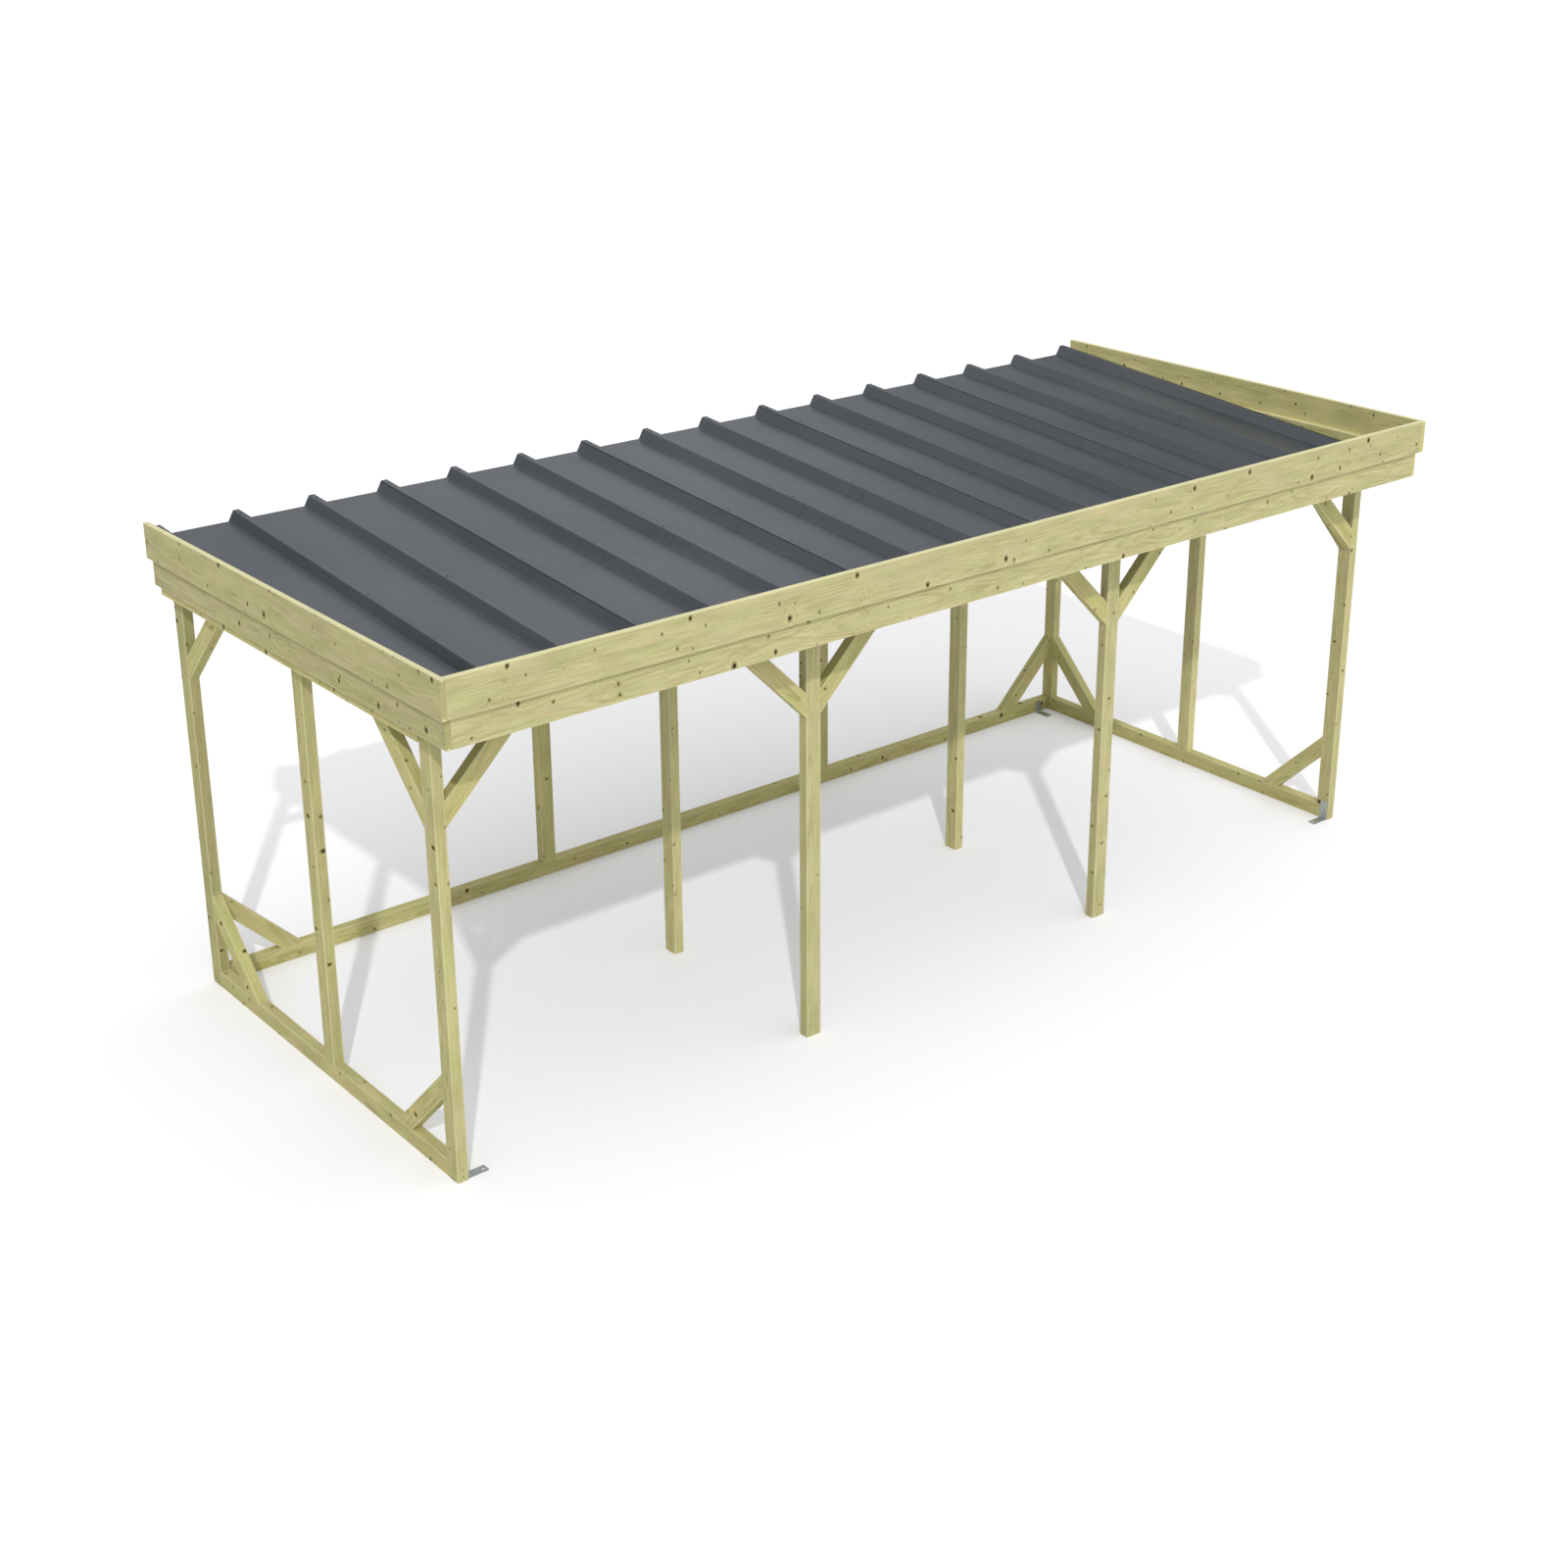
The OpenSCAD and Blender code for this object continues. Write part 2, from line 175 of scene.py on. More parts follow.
# The parts of a knot are full up to the first of its own radii and gone at the second
CORE_FADE = (0.6, 1.05)
RIM_FADE = (0.9, 2.4)
RING_FADE = (2.0, 3.6)
BULGE_FADE = (0.6, 5.5)
PIN_CORE_FADE = (0.5, 1.3)
PIN_RIM_FADE = (0.9, 2.8)
PIN_BULGE_FADE = (0.6, 6)
RIM_STRENGTH = 0.75
RING_STRENGTH = 0.35
PIN_CORE_STRENGTH = 0.8
PIN_RIM_STRENGTH = 0.55

END_SKIN_MM = 0.6         # a point this near to the sawn end lies on it
END_STRENGTH = 0.55
ARRIS_HIGHLIGHT_MM = (5, 1.2)       # the painted highlight on the arris starts and is full at these depths
ARRIS_HIGHLIGHT_STRENGTH = 0.5
BOARD_EDGE_HIGHLIGHT = 0.7         # how strongly the narrow edges of the thin boards carry a painted highlight
PLANED_ROUGHNESS = (0.58, 0.78)
RAISED_LATEWOOD = 0.35
SUNKEN_KNOT = -0.6
GRAIN_DEPTH = 0.4 * MM


def knots(tree, face, seed, cell, radius, share_kept):
    """Knots where branches leave a face: one place in each cell, and only some of them kept.

    Returns each knot's mask and how many of its own radii a point lies from its middle."""
    place = add(tree, "VectorMath", {0: face, 1: (1 / cell[0], 1 / cell[1], 0), 2: seed},
                operation="MULTIPLY_ADD")
    place = add(tree, "VectorMath", {0: place, 1: (1, 1, 0)}, operation="MULTIPLY")
    found = add(tree, "TexVoronoi", {"Vector": place, "Scale": 1, "Randomness": KNOT_SCATTER},
                voronoi_dimensions="2D")
    chance = add(tree, "SeparateColor", {0: found.outputs["Color"]})
    apart = add(tree, "VectorMath", {0: place, 1: found.outputs["Position"]}, operation="SUBTRACT")
    apart = add(tree, "VectorMath", {0: apart, 1: (cell[0], KNOT_WIDTH * cell[1], 0)},
                operation="MULTIPLY")
    ragged = add(tree, "TexNoise", {"Vector": apart, "Scale": RAGGED_SCALE, "Detail": 2,
                                    "Roughness": 0.6})
    reach = add(tree, "VectorMath", {0: apart}, operation="LENGTH")
    reach = add(tree, "Math", {0: ragged, 1: RAGGED_MM, 2: reach.outputs["Value"]},
                operation="MULTIPLY_ADD")
    reach = add(tree, "Math", {0: reach, 1: RAGGED_MM / 2}, operation="SUBTRACT")
    size = add(tree, "MapRange", {"Value": chance.outputs[0], "To Min": radius[0], "To Max": radius[1]})
    radii = add(tree, "Math", {0: reach, 1: size}, operation="DIVIDE")
    kept = add(tree, "Math", {0: chance.outputs[1], 1: share_kept}, operation="LESS_THAN")
    return kept, radii


def knot_part(tree, kept, radii, fade):
    """Full up to the first radius and gone at the second, only where a knot is kept."""
    zone = add(tree, "MapRange", {"Value": radii, "From Min": fade[1], "From Max": fade[0]},
               interpolation_type="SMOOTHSTEP")
    return add(tree, "Math", {0: zone, 1: kept}, operation="MULTIPLY")


def stretched(size):
    """The scale that makes one wave of a noise as long and as wide as size, in mm."""
    length, width = size
    return (1 / length, 1 / width, 1 / width)


def pine_pattern():
    """The pattern as a group. Position is in mm: along the grain, across the width, through the
    thickness, from the middle of the piece. Size is the piece's own size in the same order."""
    group = bpy.data.node_groups.new("treated_pine", "ShaderNodeTree")
    for name, kind in (("Position", "NodeSocketVector"), ("Size", "NodeSocketVector"),
                       ("Seed", "NodeSocketFloat"), ("Tone and shade", "NodeSocketVector"),
                       ("Knots", "NodeSocketFloat"), ("Edges", "NodeSocketFloat")):
        group.interface.new_socket(name, in_out="INPUT", socket_type=kind)
    for name, kind in (("Colour", "NodeSocketColor"), ("Roughness", "NodeSocketFloat"),
                       ("Height", "NodeSocketFloat")):
        group.interface.new_socket(name, in_out="OUTPUT", socket_type=kind)
    given = group.nodes.new("NodeGroupInput")
    position, size, seed, tone_and_shade, knotty, edges = (given.outputs[k] for k in range(6))
    along, across, through = add(group, "SeparateXYZ", {0: position}).outputs

    # Depth below the three pairs of faces, which says which face a point lies on
    folded = add(group, "VectorMath", {0: position}, operation="ABSOLUTE")
    depth = add(group, "VectorMath", {0: size, 1: (0.5, 0.5, 0.5)}, operation="MULTIPLY")
    depth = add(group, "VectorMath", {0: depth, 1: folded}, operation="SUBTRACT")
    end_depth, side_depth, face_depth = add(group, "SeparateXYZ", {0: depth}).outputs
    wide_face = add(group, "Math", {0: face_depth, 1: side_depth}, operation="LESS_THAN")

    # The pith lies outside the piece, at a place of its own, and wanders along the length
    chance = add(group, "TexWhiteNoise", {"W": seed}, noise_dimensions="1D")
    pith = add(group, "MapRange", {"Vector": chance.outputs["Color"],
                                   TO_LOW_VECTOR: (0, -PITH_ACROSS_MM, PITH_BELOW_MM[0]),
                                   TO_HIGH_VECTOR: (0, PITH_ACROSS_MM, PITH_BELOW_MM[1])},
               data_type="FLOAT_VECTOR")
    wander_length, wander_reach = WANDER_MM
    drift = add(group, "Math", {0: along, 1: 1 / wander_length, 2: seed}, operation="MULTIPLY_ADD")
    wander = add(group, "TexNoise", {"W": drift, "Scale": 1, "Detail": 1}, noise_dimensions="1D")
    wander = add(group, "MapRange", {"Vector": wander.outputs["Color"],
                                     TO_LOW_VECTOR: (0, -wander_reach, -wander_reach),
                                     TO_HIGH_VECTOR: (0, wander_reach, wander_reach)},
                 data_type="FLOAT_VECTOR")
    section = add(group, "CombineXYZ", {1: across, 2: through})
    section = add(group, "VectorMath", {0: section, 1: pith.outputs["Vector"]}, operation="ADD")
    section = add(group, "VectorMath", {0: section, 1: wander.outputs["Vector"]}, operation="ADD")
    radius = add(group, "VectorMath", {0: section}, operation="LENGTH").outputs["Value"]

    # Branch knots and pin knots, on wide faces and edges alike
    over_face = add(group, "CombineXYZ", {0: along, 1: across})
    over_edge = add(group, "CombineXYZ", {0: along, 1: through})
    over_edge = add(group, "VectorMath", {0: over_edge, 1: EDGE_SHIFT}, operation="ADD")
    face = add(group, "Mix", {0: wide_face, A_VECTOR: over_edge, B_VECTOR: over_face},
               data_type="VECTOR").outputs[MIXED_VECTOR]
    branch = knots(group, face, seed, KNOT_CELL, KNOT_RADIUS, knotty)
    pin_seed = add(group, "Math", {0: seed, 1: PIN_AWAY[0], 2: PIN_AWAY[1]}, operation="MULTIPLY_ADD")
    pin = knots(group, face, pin_seed, PIN_CELL, PIN_RADIUS, PIN_KNOTS)
    core = knot_part(group, *branch, CORE_FADE)
    pin_core = knot_part(group, *pin, PIN_CORE_FADE)
    rim = knot_part(group, *branch, RIM_FADE)
    pin_rim = knot_part(group, *pin, PIN_RIM_FADE)
    pale = knot_part(group, *branch, RING_FADE)
    bulge = knot_part(group, 1, branch[1], BULGE_FADE)
    pin_bulge = knot_part(group, 1, pin[1], PIN_BULGE_FADE)

    # Growth rings part round a knot, darken slowly to the latewood and start again at once
    parted = add(group, "Math", {0: bulge, 1: KNOT_BULGE_MM, 2: radius}, operation="MULTIPLY_ADD")
    parted = add(group, "Math", {0: pin_bulge, 1: PIN_BULGE_MM, 2: parted}, operation="MULTIPLY_ADD")
    wobble = add(group, "VectorMath", {0: position, 1: stretched(WOBBLE_MM), 2: seed},
                 operation="MULTIPLY_ADD")
    wobble = add(group, "TexNoise", {"Vector": wobble, "Scale": 1, "Detail": 2})
    ring = add(group, "Math", {0: parted, 1: 1 / RING_MM}, operation="MULTIPLY")
    ring = add(group, "Math", {0: wobble, 1: WOBBLE_RINGS, 2: ring}, operation="MULTIPLY_ADD")
    year = add(group, "Math", {0: ring}, operation="FRACT")
    rise = add(group, "MapRange", {"Value": year, "From Min": DARKENING[0], "From Max": DARKENING[1]},
               interpolation_type="SMOOTHSTEP")
    fall = add(group, "MapRange", {"Value": year, "From Min": 1, "From Max": LATEWOOD_END})
    late = add(group, "Math", {0: rise, 1: fall}, operation="MINIMUM")
    number = add(group, "Math", {0: ring}, operation="FLOOR")
    strength = add(group, "TexWhiteNoise", {"W": number}, noise_dimensions="1D")
    strength = add(group, "MapRange", {"Value": strength, "To Min": FAINT_YEAR, "To Max": 1})
    late = add(group, "Math", {0: late, 1: strength}, operation="MULTIPLY")

    fibre = add(group, "VectorMath", {0: position, 1: stretched(FIBRE_MM), 2: seed},
                operation="MULTIPLY_ADD")
    fibre = add(group, "TexNoise", {"Vector": fibre, "Scale": 1, "Detail": 4, "Roughness": 0.66})
    blotch = add(group, "VectorMath", {0: position, 1: stretched(BLOTCH_MM), 2: seed},
                 operation="MULTIPLY_ADD")
    blotch = add(group, "TexNoise", {"Vector": blotch, "Scale": 1, "Detail": 2})
    patches = add(group, "SeparateColor", {0: blotch.outputs["Color"]})

    # Rings and fibres
    amount = add(group, "Math", {0: late, 1: RING_CONTRAST}, operation="MULTIPLY")
    amount = add(group, "Math", {0: fibre, 1: FIBRE_CONTRAST, 2: amount}, operation="MULTIPLY_ADD")
    amount = add(group, "Math", {0: amount, 1: PALE_FIBRES}, operation="SUBTRACT", use_clamp=True)
    colour = add(group, "Mix", {0: amount, A_COLOUR: EARLYWOOD, B_COLOUR: LATEWOOD},
                 data_type="RGBA").outputs[MIXED_COLOUR]

    # Patches where the treatment took more or less
    for patch, (start, full, most), cast in ((patches.outputs[0], GREEN_PATCH, GREEN_CAST),
                                             (patches.outputs[1], WARM_PATCH, WARM_CAST)):
        patch = add(group, "MapRange", {"Value": patch, "From Min": start, "From Max": full,
                                        "To Max": most})
        colour = add(group, "Mix", {0: patch, A_COLOUR: colour, B_COLOUR: cast},
                     data_type="RGBA").outputs[MIXED_COLOUR]
    shade = add(group, "MapRange", {"Value": patches.outputs[2], "From Min": PATCH_RANGE[0],
                                    "From Max": PATCH_RANGE[1], "To Min": PATCH_SHADE[0],
                                    "To Max": PATCH_SHADE[1]})
    colour = add(group, "VectorMath", {0: colour, "Scale": shade}, operation="SCALE")

    # Knots: a pale ring, a brown rim and a nearly black core
    pale = add(group, "Math", {0: pale, 1: RING_STRENGTH}, operation="MULTIPLY")
    colour = add(group, "Mix", {0: pale, A_COLOUR: colour, B_COLOUR: KNOT_RING},
                 data_type="RGBA").outputs[MIXED_COLOUR]
    rim = add(group, "Math", {0: rim, 1: RIM_STRENGTH}, operation="MULTIPLY")
    pin_rim = add(group, "Math", {0: pin_rim, 1: PIN_RIM_STRENGTH}, operation="MULTIPLY")
    rim = add(group, "Math", {0: rim, 1: pin_rim}, operation="MAXIMUM")
    colour = add(group, "Mix", {0: rim, A_COLOUR: colour, B_COLOUR: KNOT_RIM},
                 data_type="RGBA").outputs[MIXED_COLOUR]
    pin_core = add(group, "Math", {0: pin_core, 1: PIN_CORE_STRENGTH}, operation="MULTIPLY")
    core = add(group, "Math", {0: core, 1: pin_core}, operation="MAXIMUM")
    colour = add(group, "Mix", {0: core, A_COLOUR: colour, B_COLOUR: KNOT_CORE},
                 data_type="RGBA").outputs[MIXED_COLOUR]

    # Sawn ends show the rings and drink a little more of the treatment
    end = add(group, "Math", {0: end_depth, 1: END_SKIN_MM}, operation="LESS_THAN")
    end = add(group, "Math", {0: end, 1: END_STRENGTH}, operation="MULTIPLY")
    end_colour = add(group, "Mix", {0: late, A_COLOUR: END_GRAIN, B_COLOUR: LATEWOOD},
                     data_type="RGBA").outputs[MIXED_COLOUR]
    colour = add(group, "Mix", {0: end, A_COLOUR: colour, B_COLOUR: end_colour},
                 data_type="RGBA").outputs[MIXED_COLOUR]

    # The eased arrises and the narrow edges of thin boards get a painted highlight: a paler colour where
    # light falls more brightly on the edges
    arris_highlight = add(group, "Math", {0: side_depth, 1: face_depth}, operation="ADD")
    arris_highlight = add(group, "MapRange", {"Value": arris_highlight, "From Min": ARRIS_HIGHLIGHT_MM[0], "From Max": ARRIS_HIGHLIGHT_MM[1],
                                    "To Max": ARRIS_HIGHLIGHT_STRENGTH})
    edge_highlight = add(group, "Math", {0: 1, 1: wide_face}, operation="SUBTRACT")
    edge_highlight = add(group, "Math", {0: edge_highlight, 1: edges}, operation="MULTIPLY")
    arris_highlight = add(group, "Math", {0: arris_highlight, 1: edge_highlight}, operation="MAXIMUM")
    # The piece's tone, which also carries painted light and shade and the painted yellow cast of wood in
    # the shade
    colour = add(group, "VectorMath", {0: colour, 1: tone_and_shade}, operation="MULTIPLY")
    colour = add(group, "Mix", {0: arris_highlight, A_COLOUR: colour, B_COLOUR: ARRIS_HIGHLIGHT},
                 data_type="RGBA").outputs[MIXED_COLOUR]

    roughness = add(group, "MapRange", {"Value": fibre, "To Min": PLANED_ROUGHNESS[0],
                                        "To Max": PLANED_ROUGHNESS[1]})
    height = add(group, "Math", {0: late, 1: RAISED_LATEWOOD, 2: fibre}, operation="MULTIPLY_ADD")
    height = add(group, "Math", {0: core, 1: SUNKEN_KNOT, 2: height}, operation="MULTIPLY_ADD")
    out = group.nodes.new("NodeGroupOutput")
    group.links.new(colour, out.inputs["Colour"])
    group.links.new(roughness.outputs[0], out.inputs["Roughness"])
    group.links.new(height.outputs[0], out.inputs["Height"])
    return group


def pine(node, pattern, position, size, seed, tone_and_shade):
    """Pine for one piece. position makes the node whose output is the place on the piece in mm."""
    material, tree, shader = new_material("pressure_treated_pine_planed_" + node)
    board = node.startswith("fascia")
    look = add(tree, "Group", {"Position": position(tree), "Size": size, "Seed": seed, "Tone and shade": tone_and_shade,
                               "Knots": BOARD_KNOTS if board else FRAME_KNOTS,
                               "Edges": BOARD_EDGE_HIGHLIGHT if board else 0}, node_tree=pattern)
    bump = add(tree, "Bump", {"Height": look.outputs["Height"], "Strength": 0.6,
                              "Distance": GRAIN_DEPTH})
    tree.links.new(look.outputs["Colour"], shader.inputs["Base Color"])
    tree.links.new(look.outputs["Roughness"], shader.inputs["Roughness"])
    tree.links.new(bump.outputs[0], shader.inputs["Normal"])
    shader.inputs["IOR"].default_value = 1.45
    shader.inputs["Specular IOR Level"].default_value = 0.3
    return material


def unit_axis(k):
    return Vector([1.0 if n == k else 0.0 for n in range(3)])


def straight_position(node):
    """Places the pattern on a straight timber: grain along its longest side."""
    low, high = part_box(node)
    extent = high - low
    order = sorted(range(3), key=lambda k: -extent[k])
    along = unit_axis(order[0])
    across = unit_axis(order[1])
    turn = Matrix((along, across, along.cross(across)))
    middle = turn @ (low + high) / 2 / MM

    def position(tree):
        where = add(tree, "TexCoord").outputs["Object"]
        return add(tree, "Mapping", {"Vector": where, "Location": -middle, "Rotation": turn.to_euler(),
                                     "Scale": (1 / MM,) * 3}).outputs[0]
    return position, tuple(extent[k] / MM for k in order)


PAIR_SLIDE_MM = 1370     # the far hand of a mirrored pair shows another stretch of the same timber
ENDLESS_MM = 1e5         # length of a piece whose sawn ends don't show


def mirrored_position(side, fold, centre, along, across):
    """Places the pattern on a mirrored pair: centre and grain are those of the hand beyond fold."""
    turn = Matrix((along, across, along.cross(across)))
    middle = turn @ centre / MM
    shift = -fold * unit_axis(side)

    def position(tree):
        where = add(tree, "TexCoord").outputs["Object"]
        where = add(tree, "VectorMath", {0: where, 1: shift}, operation="ADD")
        parts = add(tree, "SeparateXYZ", {0: where})
        folded = [parts.outputs[k] for k in range(3)]
        folded[side] = add(tree, "Math", {0: parts.outputs[side]}, operation="ABSOLUTE").outputs[0]
        where = add(tree, "CombineXYZ", {k: folded[k] for k in range(3)})
        where = add(tree, "Mapping", {"Vector": where, "Location": -middle, "Rotation": turn.to_euler(),
                                      "Scale": (1 / MM,) * 3})
        hand = add(tree, "Math", {0: parts.outputs[side]}, operation="SIGN")
        slide = add(tree, "Math", {0: hand, 1: PAIR_SLIDE_MM}, operation="MULTIPLY")
        slide = add(tree, "CombineXYZ", {0: slide})
        return add(tree, "VectorMath", {0: where, 1: slide}, operation="ADD").outputs[0]
    return position


TIMBER_W = 70 * MM
TIMBER_T = 45 * MM

# node: (axis that the braces lean along, post on the outside of the brace, corner at the top)
BRACES = {
    "brace_front_left": (0, True, True),
    "brace_front_right": (0, True, True),
    "braces_front_inner_left": (0, False, True),
    "braces_front_inner_right": (0, False, True),
    "braces_top_left": (1, True, True),
    "braces_top_right": (1, True, True),
    "braces_foot_left": (1, True, False),
    "braces_foot_right": (1, True, False),
    "braces_foot_rear": (0, True, False),
}


def brace_layout(node):
    """Where a node's braces lie: their fold, the corner they fill seen from it, and their directions."""
    side, post_outside, corner_up = BRACES[node]
    low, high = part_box(node)
    leg = high.z - low.z
    middle = (low + high) / 2
    fold = middle[side] if node.startswith("braces") else 0.0
    reach = max(abs(low[side] - fold), abs(high[side] - fold))
    corner = Vector(middle)
    corner[side] = reach if post_outside else reach - leg
    corner.z = high.z if corner_up else low.z
    run = -unit_axis(side) if post_outside else unit_axis(side)
    rise = -unit_axis(2) if corner_up else unit_axis(2)
    hands = (-1, 1) if node.startswith("braces") else (math.copysign(1, middle[side]),)
    return fold, corner, run, rise, leg, hands


def brace_position(node):
    """Places the pattern on 45 degree braces, with the grain along each."""
    side = BRACES[node][0]
    fold, corner, run, rise, leg, _ = brace_layout(node)
    # From the corner to the middle of a brace, along either leg
    inset = leg / 2 - TIMBER_W / math.sqrt(8)
    centre = corner + inset * (run + rise)
    along = (run - rise).normalized()
    across = (run + rise).normalized()
    size = (ENDLESS_MM, TIMBER_W / MM, TIMBER_T / MM)
    return mirrored_position(side, fold, centre, along, across), size


def arm_position(node):
    """Places the pattern on the fascia arms, with the grain along them."""
    low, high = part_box(node)
    centre = (low + high) / 2
    centre.x = high.x - TIMBER_T / 2
    size = (ENDLESS_MM, (high.z - low.z) / MM, TIMBER_T / MM)
    return mirrored_position(0, 0.0, centre, unit_axis(1), unit_axis(2)), size


# Brightness and how much of its blue is left, for each group of timbers: partly a real tone of the wood,
# partly painted light and shade and a painted yellow cast of wood in the shade, set for where each group
# lies in the light
TONE_AND_PAINTED_SHADE = (
    ("fascia_upper_front", 0.87, 1.0),
    ("fascia_lower_front", 0.9, 1.0),
    ("fascia_upper_left", 0.83, 0.97),
    ("fascia_lower_left", 0.8, 0.97),
    ("fascia", 1.12, 0.92),
    ("post_front_left", 0.87, 0.92),
    ("post_front_right", 0.91, 0.94),
    ("post_front", 0.89, 0.97),
    ("post_middle_left", 0.86, 0.88),
    ("post_middle", 1.0, 0.92),
    ("post_rear_left", 0.74, 0.88),
    ("rail_left", 0.92, 0.9),
    ("", 0.93, 0.84),
)

FIRST_SEED = 1.3
SEED_STEP = 3.7


def timber_tone_and_shade(node):
    """The tone and painted shade of the first group whose name the node's name starts with."""
    for start, value, blue in TONE_AND_PAINTED_SHADE:
        if node.startswith(start):
            return (value, value, value * blue)


def paint_timber():
    """Gives each timber the pine pattern, laid along its own grain."""
    pattern = pine_pattern()
    metal = ("roof_sheet", "bracket")
    timbers = [n for n in sorted(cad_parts) if not n.startswith(metal)]
    for number, node in enumerate(timbers):
        if node in BRACES:
            position, size = brace_position(node)
        elif node == "fascia_arms":
            position, size = arm_position(node)
        else:
            position, size = straight_position(node)
        seed = SEED_STEP * number + FIRST_SEED
        paint(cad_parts[node], pine(node, pattern, position, size, seed, timber_tone_and_shade(node)))


# ---- Coated steel roof ----
# Galvanised sheet with a baked polyester coating in anthracite: a fine, even skin with a satin gloss,
# so that pans seen at a low angle pick up the sky and the steep flanks of the ribs stay dark.

ANTHRACITE = srgb("#383E43")
DUST = srgb("#5E6264")
# Colour of the painted shade lines: across the sheets at the dent, and along the crests where sheets lap
SHADOW_MARK = srgb("#1E2225")
STREAKS_PER_M = (24, 0.9, 24)
CLOUDS_PER_M = 1.7
DUSTY = (0.16, 0.42, 0.24)    # where dust starts, where it is thickest, how much it then covers
COATING_ROUGHNESS = (0.28, 0.46)
SKIN_PER_M = 650         # waves of the coating's own skin, drawn 1.5 mm apart so that they show
SKIN_DEPTH = 0.05 * MM
DENT_SHADE_OFFSET = 72 * MM    # distance of the painted dent shade in front of the middle purlin
DENT_SHADE_HALF_W = (6 * MM, 1.5 * MM)    # where the painted shade starts and where it is darkest, from its middle
DENT_SHADE_STRENGTH = 0.5
SHEETS = 5
PITCHES_PER_SHEET = 3
RIB_TOP = 25 * MM
LAP_SHADOW_W = 4.5 * MM        # painted shadow under the open edge of a lap: that edge is about 1 mm, the shadow is drawn wider so that it shows


def rib_pitch():
    """Distance between ribs, from where two neighbouring sheets start."""
    return (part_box("roof_sheet_3")[0].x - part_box("roof_sheet_2")[0].x) / PITCHES_PER_SHEET


def coated_steel():
    material, tree, shader = new_material("polyester_coated_steel_roll_formed")
    where = add(tree, "TexCoord").outputs["Object"]
    # Rain draws dust down the slope in long, faint streaks
    streak = add(tree, "Mapping", {"Vector": where, "Scale": STREAKS_PER_M})
    streak = add(tree, "TexNoise", {"Vector": streak, "Scale": 1, "Detail": 4, "Roughness": 0.6})
    cloud = add(tree, "TexNoise", {"Vector": where, "Scale": CLOUDS_PER_M, "Detail": 2})
    dust = add(tree, "Math", {0: streak, 1: cloud}, operation="MULTIPLY")
    dust = add(tree, "MapRange", {"Value": dust, "From Min": DUSTY[0], "From Max": DUSTY[1],
                                  "To Max": DUSTY[2]})
    # A dark line of painted shade runs across the sheets in front of the middle purlin, standing in for
    # a faint dent
    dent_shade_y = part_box("purlin_middle")[0].y - DENT_SHADE_OFFSET
    along, down_slope, _ = add(tree, "SeparateXYZ", {0: where}).outputs
    dent_shade = add(tree, "Math", {0: down_slope, 1: dent_shade_y}, operation="SUBTRACT")
    dent_shade = add(tree, "Math", {0: dent_shade}, operation="ABSOLUTE")
    dent_shade = add(tree, "MapRange", {"Value": dent_shade, "From Min": DENT_SHADE_HALF_W[0], "From Max": DENT_SHADE_HALF_W[1],
                                  "To Max": DENT_SHADE_STRENGTH})
    # A shadow is painted as a dark line along the left edge of the crest of each rib where two sheets
    # lap
    sheet_w = PITCHES_PER_SHEET * rib_pitch()
    start = SHEETS / 2 + (RIB_TOP / 2 + LAP_SHADOW_W) / sheet_w
    lap_shadow = add(tree, "Math", {0: along, 1: 1 / sheet_w, 2: start}, operation="MULTIPLY_ADD")
    lap_shadow = add(tree, "Math", {0: lap_shadow}, operation="FRACT")
    lap_shadow = add(tree, "Math", {0: lap_shadow, 1: LAP_SHADOW_W / sheet_w}, operation="LESS_THAN")
    inner = add(tree, "Math", {0: along}, operation="ABSOLUTE")
    inner = add(tree, "Math", {0: inner, 1: (SHEETS / 2 - 0.5) * sheet_w}, operation="LESS_THAN")
    lap_shadow = add(tree, "Math", {0: lap_shadow, 1: inner}, operation="MULTIPLY")
    painted_shade = add(tree, "Math", {0: dent_shade, 1: lap_shadow}, operation="MAXIMUM")
    colour = add(tree, "Mix", {0: dust, A_COLOUR: ANTHRACITE, B_COLOUR: DUST},
                 data_type="RGBA").outputs[MIXED_COLOUR]
    colour = add(tree, "Mix", {0: painted_shade, A_COLOUR: colour, B_COLOUR: SHADOW_MARK},
                 data_type="RGBA").outputs[MIXED_COLOUR]
    roughness = add(tree, "MapRange", {"Value": streak, "To Min": COATING_ROUGHNESS[0],
                                       "To Max": COATING_ROUGHNESS[1]})
    skin = add(tree, "TexNoise", {"Vector": where, "Scale": SKIN_PER_M, "Detail": 1})
    bump = add(tree, "Bump", {"Height": skin, "Strength": 0.25, "Distance": SKIN_DEPTH})
    tree.links.new(colour, shader.inputs["Base Color"])
    tree.links.new(roughness.outputs[0], shader.inputs["Roughness"])
    tree.links.new(bump.outputs[0], shader.inputs["Normal"])
    shader.inputs["IOR"].default_value = 1.5
    shader.inputs["Specular IOR Level"].default_value = 0.42
    return material


# ---- Galvanised steel ----
# Hot-dip zinc on folded strip: a dull silver skin broken into spangles a few millimetres across.

ZINC_DULL = srgb("#B2B7B4")
ZINC_BRIGHT = srgb("#D2D6D3")
ZINC_ROUGHNESS = (0.36, 0.56)
SPANGLES_PER_M = 190


